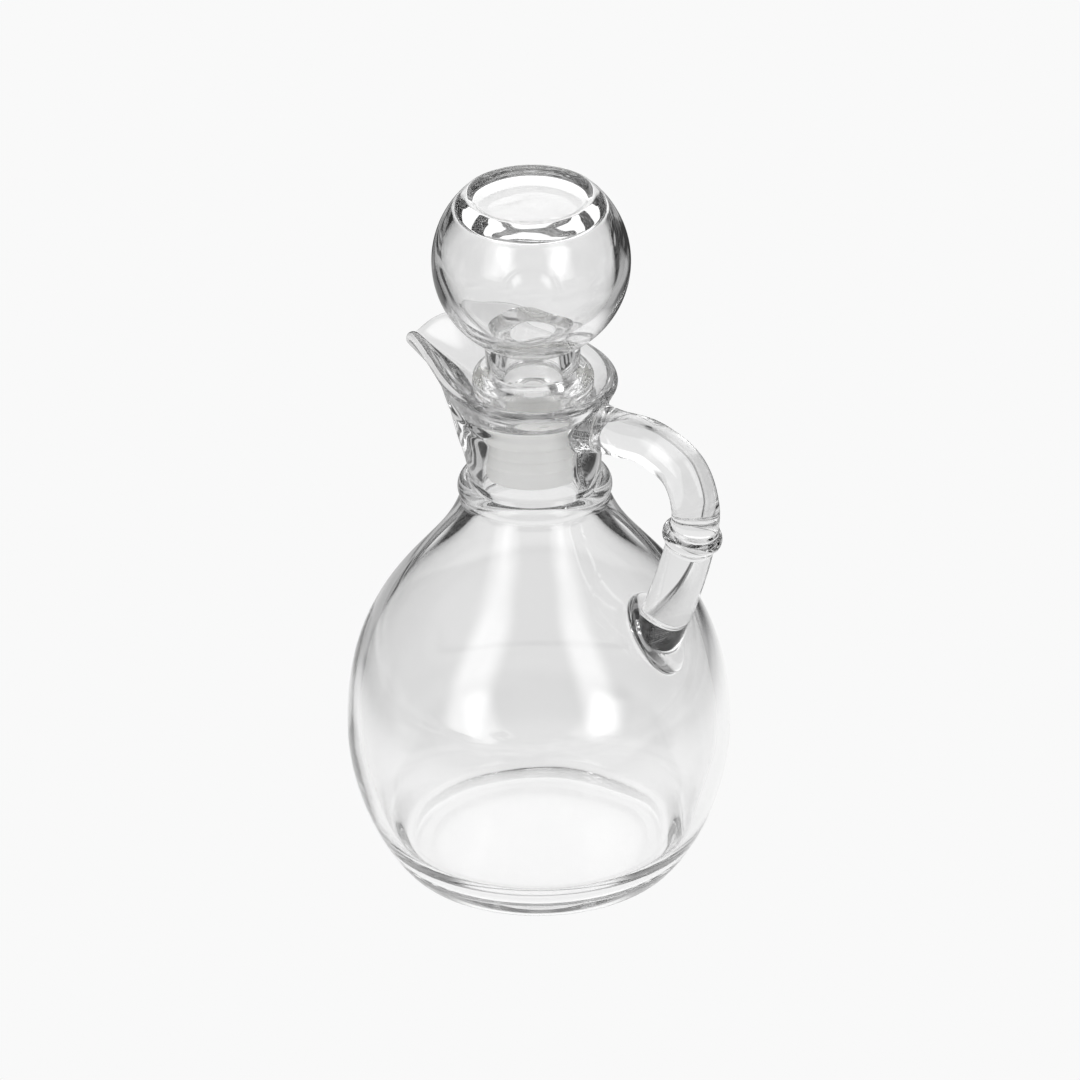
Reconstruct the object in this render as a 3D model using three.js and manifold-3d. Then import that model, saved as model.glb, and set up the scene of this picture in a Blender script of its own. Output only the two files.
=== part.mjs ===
// Oil and vinegar cruet: a glass bottle with a pouring lip and a loop handle, and a ball stopper in a sleeve.
// Millimetres, +Z up. The bottle stands on z = 0 round the Z axis, with the handle at +X and the lip at -X.

import * as THREE from 'three';
import { mergeVertices } from 'three/addons/utils/BufferGeometryUtils.js';
import Module from 'manifold-3d';

const wasm = await Module();
wasm.setup();

// Bottle body: an egg that stands on a flat base
const BASE_RADIUS = 32.9;
const BELLY_RADIUS = 45;
const BELLY_HEIGHT = 33.8;
const HEEL_LEAN = [2.4, 1];
const BELLY_PULL_DOWN = 17.8;
const BELLY_PULL_UP = 37.2;
const SHOULDER_TOP_RADIUS = 17.3;
const SHOULDER_TOP_HEIGHT = 95;
const SHOULDER_PULL = [5.9, -19.7];
const WALL = 3.2;
const WALL_THICKENS_FROM = 0.5;
const FLOOR_THICKNESS = 3.5;
const FLOOR_RADIUS = 26.5;
const FLOOR_CORNER = [[29.6, 4.3], [32.2, 6.4]];
const LOWEST_WALL_POINT = 8.5;

// Neck: a ring at its foot, a slight taper and a plain bore
const RING_CENTRE_HEIGHT = 97.5;
const RING_CENTRE_RADIUS = 15.6;
const RING_SECTION_RADIUS = 2.35;
const RING_START_ANGLE = -62;
const RING_END_ANGLE = 82;
const NECK_FOOT_RADIUS = 15.3;
const NECK_FOOT_HEIGHT = 101;
const NECK_TOP_RADIUS = 15.9;
const NECK_TOP_HEIGHT = 116;
const NECK_ROW_HEIGHTS = [104, 107.5, 110.5, 113.5, NECK_TOP_HEIGHT];
const STEP_RADIUS = 16.5;
const STEP_HEIGHT = 117.3;
const BORE_RADIUS = 11.7;
const BORE_FOOT_HEIGHT = 98;
const BORE_TOP_HEIGHT = 119.4;

// Mouth: a flared cup with a round rim, drawn out into a pouring lip. Spreads are degrees from the lip
const CUP_FOOT = [14.9, 119.6];
const OUTSIDE_FOOT = [16.3, 118.8];
const OUTSIDE_BROW = [18.9, 123.4];
const LEDGE_RADIUS = 13.6;
const LEDGE_HEIGHT = 119.9;
const RIM_CIRCLE_RADIUS = 17.9;
const RIM_OVAL = 1;
const RIM_CIRCLE_HEIGHT = 124.2;
const RIM_HALF_WALL = 1.45;
const LIP_REACH = 15.1;
const LIP_SPREAD = 20.6;
const RIM_RISE = 5.5;
const RIM_RISE_SPREAD = 68;
const LIP_DROOP = 4.8;
const LIP_DROOP_SPREAD = 8.1;
const LIP_PULL_START = 107;
const LIP_PULL_CURVE = 1.3;
const THROAT_SWELL = 3.2;
const THROAT_SWELL_START = 100.5;
const THROAT_SWELL_RISE = 17;

// Handle: one bent rod with a bead, pressed onto the neck and the shoulder
const HANDLE_ROUTE = [
  [13.6, 118],
  [24, 118.6],
  [33.8, 119],
  [43, 114.8],
  [46.4, 106],
  [44.9, 96.7],
  [41.2, 84.5],
  [34.2, 66.5],
];
const ROD_TOP_RADIUS = 5.2;
const ROD_FOOT_RADIUS = 5.9;
const ROD_NECK_FLARE = 1.5;
const ROD_FLARE_LENGTH = 6;
const BEAD_HEIGHT = 98.8;
const BEAD_PROUD = 1.4;
const BEAD_HALF_LENGTH = 1.7;
const NECK_PAD_CENTRE = [13.4, 0, 110.8];
const NECK_PAD_SIZE = [4.4, 5, 11];
const FOOT_PAD_CENTRE = [34.6, 0, 69.2];
const FOOT_PAD_SIZE = [10.4, 6.6, 3.9];
const FOOT_PAD_TILT = 55;
const CORE_DEPTH = 1.8;
const CORE_FOOT_HEIGHT = 1;

// Stopper: a blown ball with a dished flat top, on a stem that is open below
const BALL_RADIUS = 22.8;
const BALL_HEIGHT = 155.7;
const BALL_WALL = 3;
const BALL_RIM_RADIUS = 15.4;
const RIM_CROWN = [[14.6, 0.35], [13.7, 0]];
const DISH_RADIUS = 13.2;
const DISH_DEPTH = 1.9;
const DISH_FLOOR = 3;
const WAIST_RADIUS = 10.8;
const WAIST_FOOT_HEIGHT = 129.1;
const PLUG_TOP_RADIUS = 9.9;
const PLUG_FOOT_RADIUS = 9.2;
const PLUG_FOOT_HEIGHT = 104;
const STEM_BORE_THROAT = 5.4;
const STEM_BORE_TAPER_HEIGHT = 126.1;
const STEM_BORE_FOOT = 6.5;

// Sleeve: a soft plastic collar that seals the stem in the bore
const SLEEVE_RADIUS = 11.1;
const SLEEVE_FOOT_RADIUS = 10.3;
const SLEEVE_FOOT_HEIGHT = 102.4;
const SLEEVE_TAPER_HEIGHT = 105;
const SLEEVE_GAP = 0.3;
const RIB_PROUD = 0.3;
const RIB_HEIGHTS = [107, 110, 113];
const RIB_HALF_HEIGHT = 0.5;
const FLANGE_FOOT_HEIGHT = 122.6;
const FLANGE_EDGE = [[13.1, 122.6], [14, 123.6], [14, 126.2], [13.3, 127.3], [12, 128.4]];
const SLEEVE_TOP_HEIGHT = 128.7;

// How finely the round shapes are divided
const BOTTLE_SIDES = 48;
const HEEL_STEPS = 7;
const SHOULDER_STEPS = 13;
const RING_STEPS = 6;
const STOPPER_SIDES = 32;
const BALL_STEPS = 15;
const HOLLOW_STEPS = 14;
const SLEEVE_SIDES = 28;
const ROD_SIDES = 14;
const ROD_STEPS = 30;
const BEAD_PLACES = [-1, -0.75, -0.35, 0.35, 0.75, 1];
const BEAD_CLEAR = 1.3;
const PAD_SIDES = 18;
const PAD_ROWS = 12;

const GLASS = { color: 0xeef1f1, roughness: 0.04, metalness: 0, transparent: true, opacity: 0.35 };
const SLEEVE_PLASTIC = { color: 0xd8dada, roughness: 0.3, metalness: 0, transparent: true, opacity: 0.6 };

const radians = THREE.MathUtils.degToRad;

// A closed lathe solid round +Z. The profile lists [radius, height] pairs
function turned(profile, sides) {
  const points = profile.map(([radius, height]) => new THREE.Vector2(radius, height));
  const geometry = new THREE.LatheGeometry(points, sides);
  geometry.rotateX(Math.PI / 2);
  return geometry;
}

// Vertices that share a place become one, so that the faces close on each other
function welded(geometry) {
  const bare = geometry.clone();
  bare.deleteAttribute('normal');
  bare.deleteAttribute('uv');
  return mergeVertices(bare, 1e-3);
}

function toSolid(geometry) {
  const closed = welded(geometry);
  const vertProperties = new Float32Array(closed.attributes.position.array);
  const triVerts = withoutFlatFaces(closed.index.array);
  const mesh = new wasm.Mesh({ numProp: 3, vertProperties, triVerts });
  mesh.merge();
  return new wasm.Manifold(mesh);
}

// Triangles that collapse to a line at the axis are dropped
function withoutFlatFaces(indices) {
  const kept = [];
  for (let i = 0; i < indices.length; i += 3) {
    const [a, b, c] = indices.slice(i, i + 3);
    if (a !== b && b !== c && c !== a) {
      kept.push(a, b, c);
    }
  }
  return new Uint32Array(kept);
}

function toGeometry(solid) {
  const mesh = solid.getMesh();
  const geometry = new THREE.BufferGeometry();
  geometry.setAttribute('position', new THREE.BufferAttribute(mesh.vertProperties, mesh.numProp));
  geometry.setIndex(new THREE.BufferAttribute(mesh.triVerts, 1));
  geometry.computeVertexNormals();
  return geometry;
}

function namedMesh(name, geometry, finish) {
  const mesh = new THREE.Mesh(geometry, new THREE.MeshStandardMaterial(finish));
  mesh.name = name;
  return mesh;
}

// The body's outline, from the base's edge to the foot of the neck, as two curves that meet at the belly
const heelCurve = new THREE.CubicBezierCurve(
  new THREE.Vector2(BASE_RADIUS, 0),
  new THREE.Vector2(BASE_RADIUS + HEEL_LEAN[0], HEEL_LEAN[1]),
  new THREE.Vector2(BELLY_RADIUS, BELLY_HEIGHT - BELLY_PULL_DOWN),
  new THREE.Vector2(BELLY_RADIUS, BELLY_HEIGHT),
);
const shoulderCurve = new THREE.CubicBezierCurve(
  new THREE.Vector2(BELLY_RADIUS, BELLY_HEIGHT),
  new THREE.Vector2(BELLY_RADIUS, BELLY_HEIGHT + BELLY_PULL_UP),
  new THREE.Vector2(SHOULDER_TOP_RADIUS + SHOULDER_PULL[0], SHOULDER_TOP_HEIGHT + SHOULDER_PULL[1]),
  new THREE.Vector2(SHOULDER_TOP_RADIUS, SHOULDER_TOP_HEIGHT),
);

// Points along the body's outline, each moved inwards by depth(share of the shoulder already climbed)
function bodyOutline(depth, heelSteps, shoulderSteps) {
  const outline = [];
  const walk = (curve, steps, first, climbed) => {
    for (let i = first; i <= steps; i += 1) {
      const t = i / steps;
      const point = curve.getPoint(t);
      const along = curve.getTangent(t);
      const inwards = depth(climbed(t));
      outline.push([point.x - along.y * inwards, point.y + along.x * inwards]);
    }
  };
  walk(heelCurve, heelSteps, 0, () => 0);
  walk(shoulderCurve, shoulderSteps, 1, (t) => t);
  return outline;
}

// The wall thickens towards the neck, until the inside meets the bore
const thickening = SHOULDER_TOP_RADIUS - BORE_RADIUS - WALL;
function wallDepth(climbed) {
  const share = Math.max(0, (climbed - WALL_THICKENS_FROM) / (1 - WALL_THICKENS_FROM));
  return WALL + thickening * share ** 2;
}

function arcPoints(radius, height, section, fromDegrees, toDegrees, steps) {
  const points = [];
  for (let i = 0; i <= steps; i += 1) {
    const angle = radians(fromDegrees + ((toDegrees - fromDegrees) * i) / steps);
    points.push([radius + section * Math.cos(angle), height + section * Math.sin(angle)]);
  }
  return points;
}

// The rim bead's centre line. The azimuth is measured from the lip
function rimCentre(azimuth) {
  const degrees = THREE.MathUtils.radToDeg(Math.abs(azimuth));
  const facing = (1 + Math.cos(azimuth)) / 2;
  const reach = RIM_OVAL * facing + (LIP_REACH * facing) / (1 + (degrees / LIP_SPREAD) ** 2);
  const rise = RIM_RISE * Math.exp(-((degrees / RIM_RISE_SPREAD) ** 2));
  const droop = LIP_DROOP * Math.exp(-((degrees / LIP_DROOP_SPREAD) ** 2));
  return onCircle(azimuth, RIM_CIRCLE_RADIUS + reach, RIM_CIRCLE_HEIGHT + rise - droop);
}

const onCircle = (azimuth, radius, height) => new THREE.Vector3(
  -radius * Math.cos(azimuth), radius * Math.sin(azimuth), height,
);

// A point on the rim bead: turn 0 faces outwards, a quarter turn up, and a half turn inwards
function rimPoint(azimuth, turn) {
  const step = 0.01;
  const centre = rimCentre(azimuth);
  const along = rimCentre(azimuth + step).sub(rimCentre(azimuth - step)).normalize();
  const up = centre.clone().sub(onCircle(azimuth, ...CUP_FOOT));
  up.addScaledVector(along, -up.dot(along)).normalize();
  const outwards = along.clone().cross(up);
  if (outwards.dot(onCircle(azimuth, 1, 0)) < 0) {
    outwards.negate();
  }
  return centre
    .addScaledVector(outwards, RIM_HALF_WALL * Math.cos(turn))
    .addScaledVector(up, RIM_HALF_WALL * Math.sin(turn));
}

// A round skin's point, swollen under the lip and carried along with the rim by a share of the rim's own pull
function pulledPoint(azimuth, radius, height, swell, pull, rimTurn, plainRim) {
  const facing = (1 + Math.cos(azimuth)) / 2;
  const point = onCircle(azimuth, radius + swell * facing * (1 - pull), height);
  const shift = rimPoint(azimuth, rimTurn).sub(onCircle(azimuth, ...plainRim));
  return point.addScaledVector(shift, pull);
}

// The neck widens evenly from its foot to its top
function neckRadius(height) {
  const climbed = (height - NECK_FOOT_HEIGHT) / (NECK_TOP_HEIGHT - NECK_FOOT_HEIGHT);
  return THREE.MathUtils.lerp(NECK_FOOT_RADIUS, NECK_TOP_RADIUS, climbed);
}

// The rows that the outside has between the ring and the rim: the plain radius and the height of each
const OUTSIDE_ROWS = [
  ...NECK_ROW_HEIGHTS.map((height) => [neckRadius(height), height]),
  [STEP_RADIUS, STEP_HEIGHT],
  OUTSIDE_FOOT,
  [(OUTSIDE_FOOT[0] + OUTSIDE_BROW[0]) / 2, (OUTSIDE_FOOT[1] + OUTSIDE_BROW[1]) / 2],
  OUTSIDE_BROW,
];
const RIM_TURNS = [0.12, 0.3, 0.5, 0.7, 0.88];
const INSIDE_SHARES = [0.8, 0.5, 0.2, 0];

// The neck's outside, the rim and the inside of the mouth, from the ring up and down again to the bore
function mouthColumn(azimuth) {
  const outsideRim = [RIM_CIRCLE_RADIUS + RIM_HALF_WALL, RIM_CIRCLE_HEIGHT];
  const insideRim = [RIM_CIRCLE_RADIUS - RIM_HALF_WALL, RIM_CIRCLE_HEIGHT];
  const outside = OUTSIDE_ROWS.map(([radius, height]) => {
    const climbed = Math.max(0, (height - LIP_PULL_START) / (RIM_CIRCLE_HEIGHT - LIP_PULL_START));
    const pull = climbed ** LIP_PULL_CURVE;
    const swell = THROAT_SWELL * THREE.MathUtils.smoothstep(
      height, THROAT_SWELL_START, THROAT_SWELL_START + THROAT_SWELL_RISE,
    );
    return pulledPoint(azimuth, radius, height, swell, pull, 0, outsideRim);
  });
  const rim = RIM_TURNS.map((turn) => rimPoint(azimuth, turn * Math.PI));
  const inside = INSIDE_SHARES.map((share) => {
    const radius = THREE.MathUtils.lerp(LEDGE_RADIUS, insideRim[0], share);
    const height = THREE.MathUtils.lerp(LEDGE_HEIGHT, insideRim[1], share);
    return pulledPoint(azimuth, radius, height, 0, share, Math.PI, insideRim);
  });
  return [...outside, ...rim, ...inside];
}

function bottleShell() {
  const outside = bodyOutline(() => 0, HEEL_STEPS, SHOULDER_STEPS);
  const inside = bodyOutline(wallDepth, HEEL_STEPS, SHOULDER_STEPS)
    .filter(([, height]) => height > LOWEST_WALL_POINT)
    .reverse();
  const ring = arcPoints(
    RING_CENTRE_RADIUS, RING_CENTRE_HEIGHT, RING_SECTION_RADIUS, RING_START_ANGLE, RING_END_ANGLE, RING_STEPS,
  );
  const below = [[0, 0], ...outside, ...ring, [NECK_FOOT_RADIUS, NECK_FOOT_HEIGHT]];
  const mouthRows = mouthColumn(0).length;
  const profile = [
    ...below,
    ...Array(mouthRows).fill(CUP_FOOT),
    [BORE_RADIUS, BORE_TOP_HEIGHT],
    [BORE_RADIUS, BORE_FOOT_HEIGHT],
    ...inside,
    ...FLOOR_CORNER.slice().reverse(),
    [FLOOR_RADIUS, FLOOR_THICKNESS],
    [0, FLOOR_THICKNESS],
  ];
  const geometry = turned(profile, BOTTLE_SIDES);
  const position = geometry.attributes.position;
  for (let column = 0; column <= BOTTLE_SIDES; column += 1) {
    const first = column * profile.length + below.length;
    const azimuth = Math.atan2(position.getY(first), -position.getX(first));
    mouthColumn(azimuth).forEach((point, row) => {
      position.setXYZ(first + row, point.x, point.y, point.z);
    });
  }
  return toSolid(geometry);
}

// The handle's rod is turned straight, with its bead and flare, and then bent along the route
function handleRod() {
  const route = new THREE.CatmullRomCurve3(HANDLE_ROUTE.map(([x, z]) => new THREE.Vector3(x, 0, z)));
  const length = route.getLength();
  const beadAt = beadShare(route);
  const radiusAt = (share) => {
    const plain = THREE.MathUtils.lerp(ROD_TOP_RADIUS, ROD_FOOT_RADIUS, share);
    const flare = ROD_NECK_FLARE * Math.exp(-(((share * length) / ROD_FLARE_LENGTH) ** 2));
    const fromBead = Math.abs(share - beadAt) * length / BEAD_HALF_LENGTH;
    const bead = fromBead < 1 ? BEAD_PROUD * Math.sqrt(1 - fromBead ** 2) : 0;
    return plain + flare + bead;
  };
  const shares = [];
  for (let i = 0; i <= ROD_STEPS; i += 1) {
    const share = i / ROD_STEPS;
    if (Math.abs(share - beadAt) * length > BEAD_HALF_LENGTH * BEAD_CLEAR) {
      shares.push(share);
    }
  }
  for (const place of BEAD_PLACES) {
    shares.push(beadAt + (place * BEAD_HALF_LENGTH) / length);
  }
  shares.sort((a, b) => a - b);
  const profile = [[0, 0], ...shares.map((share) => [radiusAt(share), share]), [0, 1]];
  const points = profile.map(([radius, share]) => new THREE.Vector2(radius, share));
  const geometry = new THREE.LatheGeometry(points, ROD_SIDES);
  const position = geometry.attributes.position;
  for (let i = 0; i < position.count; i += 1) {
    const share = Math.min(1, Math.max(0, position.getY(i)));
    const centre = route.getPointAt(share);
    const along = route.getTangentAt(share);
    const sideways = new THREE.Vector3(0, 1, 0);
    const across = along.clone().cross(sideways);
    centre.addScaledVector(across, position.getX(i)).addScaledVector(sideways, position.getZ(i));
    position.setXYZ(i, centre.x, centre.y, centre.z);
  }
  return toSolid(geometry);
}

// The share of the route at which its falling side passes the bead's height
function beadShare(route) {
  let share = 0.5;
  while (route.getPointAt(share).z > BEAD_HEIGHT) {
    share += 0.001;
  }
  return share;
}

// A flattened ball of glass where the rod was pressed on
function pad(centre, size, tiltDegrees) {
  const geometry = new THREE.SphereGeometry(1, PAD_SIDES, PAD_ROWS);
  geometry.scale(...size);
  geometry.rotateY(radians(tiltDegrees));
  geometry.translate(...centre);
  return toSolid(geometry);
}

// What fills the bottle to just inside its outer skin: the handle's glass stays out of it
function bottleCore() {
  const outline = bodyOutline(() => CORE_DEPTH, HEEL_STEPS, SHOULDER_STEPS);
  const profile = [
    [0, CORE_FOOT_HEIGHT],
    ...outline.filter(([, height]) => height > CORE_FOOT_HEIGHT),
    [NECK_FOOT_RADIUS - CORE_DEPTH, NECK_FOOT_HEIGHT],
    [NECK_TOP_RADIUS - CORE_DEPTH, NECK_TOP_HEIGHT],
    CUP_FOOT,
    [RIM_CIRCLE_RADIUS, RIM_CIRCLE_HEIGHT],
    [RIM_CIRCLE_RADIUS, RIM_CIRCLE_HEIGHT + 2 * RIM_HALF_WALL],
    [0, RIM_CIRCLE_HEIGHT + 2 * RIM_HALF_WALL],
  ];
  return toSolid(turned(profile, BOTTLE_SIDES));
}

function bottle() {
  const handle = handleRod()
    .add(pad(NECK_PAD_CENTRE, NECK_PAD_SIZE, 0))
    .add(pad(FOOT_PAD_CENTRE, FOOT_PAD_SIZE, FOOT_PAD_TILT))
    .subtract(bottleCore());
  return toGeometry(bottleShell().add(handle));
}

function stopper() {
  const degrees = THREE.MathUtils.radToDeg;
  const hollow = BALL_RADIUS - BALL_WALL;
  const rimTop = BALL_HEIGHT + Math.sqrt(BALL_RADIUS ** 2 - BALL_RIM_RADIUS ** 2);
  const ceiling = rimTop - DISH_DEPTH - DISH_FLOOR;
  const lowAngle = -degrees(Math.acos(WAIST_RADIUS / BALL_RADIUS));
  const highAngle = degrees(Math.acos(BALL_RIM_RADIUS / BALL_RADIUS));
  const hollowHigh = degrees(Math.asin((ceiling - BALL_HEIGHT) / hollow));
  const hollowLow = -degrees(Math.acos(STEM_BORE_THROAT / hollow));
  const profile = [
    [STEM_BORE_FOOT, PLUG_FOOT_HEIGHT],
    [PLUG_FOOT_RADIUS, PLUG_FOOT_HEIGHT],
    [PLUG_TOP_RADIUS, WAIST_FOOT_HEIGHT],
    [WAIST_RADIUS, WAIST_FOOT_HEIGHT],
    ...arcPoints(0, BALL_HEIGHT, BALL_RADIUS, lowAngle, highAngle, BALL_STEPS),
    ...RIM_CROWN.map(([radius, above]) => [radius, rimTop + above]),
    [DISH_RADIUS, rimTop - DISH_DEPTH],
    [0, rimTop - DISH_DEPTH],
    [0, ceiling],
    ...arcPoints(0, BALL_HEIGHT, hollow, hollowHigh, hollowLow, HOLLOW_STEPS),
    [STEM_BORE_FOOT, STEM_BORE_TAPER_HEIGHT],
    [STEM_BORE_FOOT, PLUG_FOOT_HEIGHT],
  ];
  return toSolid(turned(profile, STOPPER_SIDES));
}

function sleeve() {
  const ribs = RIB_HEIGHTS.flatMap((height) => [
    [SLEEVE_RADIUS, height - RIB_HALF_HEIGHT],
    [SLEEVE_RADIUS + RIB_PROUD, height],
    [SLEEVE_RADIUS, height + RIB_HALF_HEIGHT],
  ]);
  const profile = [
    [PLUG_FOOT_RADIUS + SLEEVE_GAP, SLEEVE_FOOT_HEIGHT],
    [SLEEVE_FOOT_RADIUS, SLEEVE_FOOT_HEIGHT],
    [SLEEVE_RADIUS, SLEEVE_TAPER_HEIGHT],
    ...ribs,
    [SLEEVE_RADIUS, FLANGE_FOOT_HEIGHT],
    ...FLANGE_EDGE,
    [PLUG_TOP_RADIUS + SLEEVE_GAP, SLEEVE_TOP_HEIGHT],
    [PLUG_FOOT_RADIUS + SLEEVE_GAP, SLEEVE_FOOT_HEIGHT],
  ];
  return toSolid(turned(profile, SLEEVE_SIDES));
}

const group = new THREE.Group();
group.add(namedMesh('bottle', bottle(), GLASS));
group.add(namedMesh('stopper', toGeometry(stopper()), GLASS));
group.add(namedMesh('stopper_sleeve', toGeometry(sleeve()), SLEEVE_PLASTIC));

export default group;
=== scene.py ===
import math

import bpy
import numpy as np
from mathutils import Matrix


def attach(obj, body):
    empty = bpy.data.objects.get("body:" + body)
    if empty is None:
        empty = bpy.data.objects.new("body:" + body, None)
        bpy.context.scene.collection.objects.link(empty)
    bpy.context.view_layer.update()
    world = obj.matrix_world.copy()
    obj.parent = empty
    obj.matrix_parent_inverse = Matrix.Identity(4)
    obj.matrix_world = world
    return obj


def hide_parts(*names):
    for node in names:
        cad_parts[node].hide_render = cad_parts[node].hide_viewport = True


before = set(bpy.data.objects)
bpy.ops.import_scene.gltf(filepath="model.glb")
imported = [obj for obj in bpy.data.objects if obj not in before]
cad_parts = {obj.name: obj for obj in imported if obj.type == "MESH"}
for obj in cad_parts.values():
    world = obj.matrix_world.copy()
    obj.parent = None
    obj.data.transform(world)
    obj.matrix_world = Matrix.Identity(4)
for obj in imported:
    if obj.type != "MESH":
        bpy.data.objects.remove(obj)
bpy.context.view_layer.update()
scene = bpy.context.scene


# The camera looks down on the cruet from the front left of the handle, far off with a long lens, so
# that the bottle's sides stay nearly parallel. It rolls a little, as the photograph does.
VIEW_AZIMUTH = 38.0
VIEW_ELEVATION = 29.5
VIEW_DISTANCE = 2.0
VIEW_ROLL = 0.95
AIM_HEIGHT = 0.08246
FRAME_PIXELS = 1080
FOCAL_PIXELS = 8606.0
AXIS_PIXEL_X = 535.8
SENSOR_WIDTH = 36.0
CLIP_NEAR, CLIP_FAR = 0.05, 60.0
# Light goes through many walls of glass on its way to the camera, so its paths have to be long
GLASS_BOUNCES = 64
DIFFUSE_BOUNCES = 12


def back_of_view(azimuth, elevation):
    """The unit vector from the object to the camera, for angles in degrees."""
    a, e = math.radians(azimuth), math.radians(elevation)
    return np.array([math.sin(a) * math.cos(e), -math.cos(a) * math.cos(e), math.sin(e)])


def placed(x_axis, y_axis, z_axis, place):
    """The matrix of something with these unit axes at this place."""
    return Matrix(np.vstack([np.column_stack([x_axis, y_axis, z_axis, place]), [0, 0, 0, 1]]).tolist())


back = back_of_view(VIEW_AZIMUTH, VIEW_ELEVATION)
right = np.cross([0.0, 0.0, 1.0], back)
right /= np.linalg.norm(right)
up = np.cross(back, right)
roll = math.radians(VIEW_ROLL)
rolled_right = math.cos(roll) * right - math.sin(roll) * up
rolled_up = math.sin(roll) * right + math.cos(roll) * up
camera_data = bpy.data.cameras.new("photo_camera")
camera_data.sensor_width = SENSOR_WIDTH
camera_data.lens = SENSOR_WIDTH * FOCAL_PIXELS / FRAME_PIXELS
camera_data.clip_start = CLIP_NEAR
camera_data.clip_end = CLIP_FAR
camera_data.shift_x = (FRAME_PIXELS / 2 - AXIS_PIXEL_X) / FRAME_PIXELS
camera = bpy.data.objects.new("photo_camera", camera_data)
camera.matrix_world = placed(rolled_right, rolled_up, back, back * VIEW_DISTANCE + [0.0, 0.0, AIM_HEIGHT])
scene.collection.objects.link(camera)
scene.camera = camera
scene.view_settings.view_transform = "Standard"
scene.view_settings.look = "None"
scene.cycles.max_bounces = GLASS_BOUNCES
scene.cycles.transmission_bounces = GLASS_BOUNCES
scene.cycles.glossy_bounces = GLASS_BOUNCES
scene.cycles.diffuse_bounces = DIFFUSE_BOUNCES
scene.cycles.blur_glossy = 0.0


# The cruet stands on a light table: a wide sheet of pale acrylic lit from below, which leaves hardly a
# shadow. Through the glass a faint shade shows round the foot. In the glass's reflections the table
# ends not far off, and paler patches of the studio lie beyond it.
TABLE_COLOUR = "#f9f9f9"
TABLE_HALF_WIDTH = 12.0
TABLE_GAP = 0.0002
# Each fade: from and to a distance from the middle, then the glow at both ends
SHADE_FADE = (0.04, 0.09, 1.0, 0.86)
SHADE_END = (0.11, 0.22, 0.0, 0.97)
MIRRORED_FADE = (0.1, 0.24, 1.0, 0.05)
PATCH_SIZE, PATCH_EDGES, PATCH_GLOW = 0.22, (0.48, 0.56), 0.5


def linear(colour):
    """An sRGB hex colour as linear red, green, blue and alpha."""
    parts = np.array([int(colour[i:i + 2], 16) / 255 for i in (1, 3, 5)])
    curved = np.where(parts <= 0.04045, parts / 12.92, ((parts + 0.055) / 1.055) ** 2.4)
    return (*curved.tolist(), 1.0)


def add_node(tree, kind, links=None, **settings):
    """A new shader node. Settings named after a socket, with spaces as underscores, set that socket; the
    others set the node. Links give {input name or index: output socket}."""
    node = tree.nodes.new(kind)
    for name, value in settings.items():
        if hasattr(node, name):
            setattr(node, name, value)
    sockets = {s.name.replace(" ", "_"): s for s in reversed(node.inputs)}
    for name, value in settings.items():
        if not hasattr(node, name):
            sockets[name].default_value = value
    for name, output in (links or {}).items():
        tree.links.new(output, node.inputs[name])
    return node


def graded(tree, value, start, end, first, last):
    """The output that goes smoothly from first to last while the value goes from start to end."""
    return add_node(tree, "ShaderNodeMapRange", {"Value": value}, interpolation_type="SMOOTHSTEP",
                    From_Min=start, From_Max=end, To_Min=first, To_Max=last).outputs["Result"]


def bare_material(name):
    """A material without any node yet, and its node tree."""
    material = bpy.data.materials.new(name)
    material.use_nodes = True
    material.node_tree.nodes.clear()
    return material, material.node_tree


def mesh_piece(name, points, faces, material):
    """A smooth-shaded mesh object at the origin, from points in metres and faces of point numbers."""
    mesh = bpy.data.meshes.new(name)
    mesh.from_pydata(points, [], faces)
    mesh.validate()
    mesh.shade_smooth()
    mesh.materials.append(material)
    piece = bpy.data.objects.new(name, mesh)
    scene.collection.objects.link(piece)
    return piece


def light_table_acrylic():
    """The camera sees one even glow. Through glass the table shows the brighter of two fades, which leaves
    a faint ring of shade. Mirrored in glass, it fades into the dark, where paler patches show."""
    material, tree = bare_material("light_table_acrylic")
    place = add_node(tree, "ShaderNodeTexCoord")
    far = add_node(tree, "ShaderNodeVectorMath", {0: place.outputs["Object"]}, operation="LENGTH")
    path = add_node(tree, "ShaderNodeLightPath")
    mirrored = add_node(tree, "ShaderNodeMath", {0: path.outputs["Glossy Depth"]}, operation="GREATER_THAN")
    shade, beyond, mirrored_fade = (graded(tree, far.outputs["Value"], *fade)
                                    for fade in (SHADE_FADE, SHADE_END, MIRRORED_FADE))
    through_glow = add_node(tree, "ShaderNodeMath", {0: shade, 1: beyond}, operation="MAXIMUM")
    patches = add_node(tree, "ShaderNodeTexNoise", {"Vector": place.outputs["Object"]},
                       Scale=1 / PATCH_SIZE, Detail=0.0)
    patch_glow = add_node(tree, "ShaderNodeMapRange", {"Value": patches.outputs["Fac"]},
                          From_Min=PATCH_EDGES[0], From_Max=PATCH_EDGES[1], To_Min=0.0, To_Max=PATCH_GLOW)
    mirrored_glow = add_node(tree, "ShaderNodeMath", {0: mirrored_fade, 1: patch_glow.outputs[0]},
                             operation="MAXIMUM")
    glow = add_node(tree, "ShaderNodeMix", {0: mirrored.outputs[0], 2: through_glow.outputs[0],
                                            3: mirrored_glow.outputs[0]})
    seen = add_node(tree, "ShaderNodeMath", {0: path.outputs["Is Camera Ray"], 1: glow.outputs[0]},
                    operation="MAXIMUM")
    light = add_node(tree, "ShaderNodeEmission", {"Strength": seen.outputs[0]}, Color=linear(TABLE_COLOUR))
    add_node(tree, "ShaderNodeOutputMaterial", {"Surface": light.outputs["Emission"]})
    return material


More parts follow.
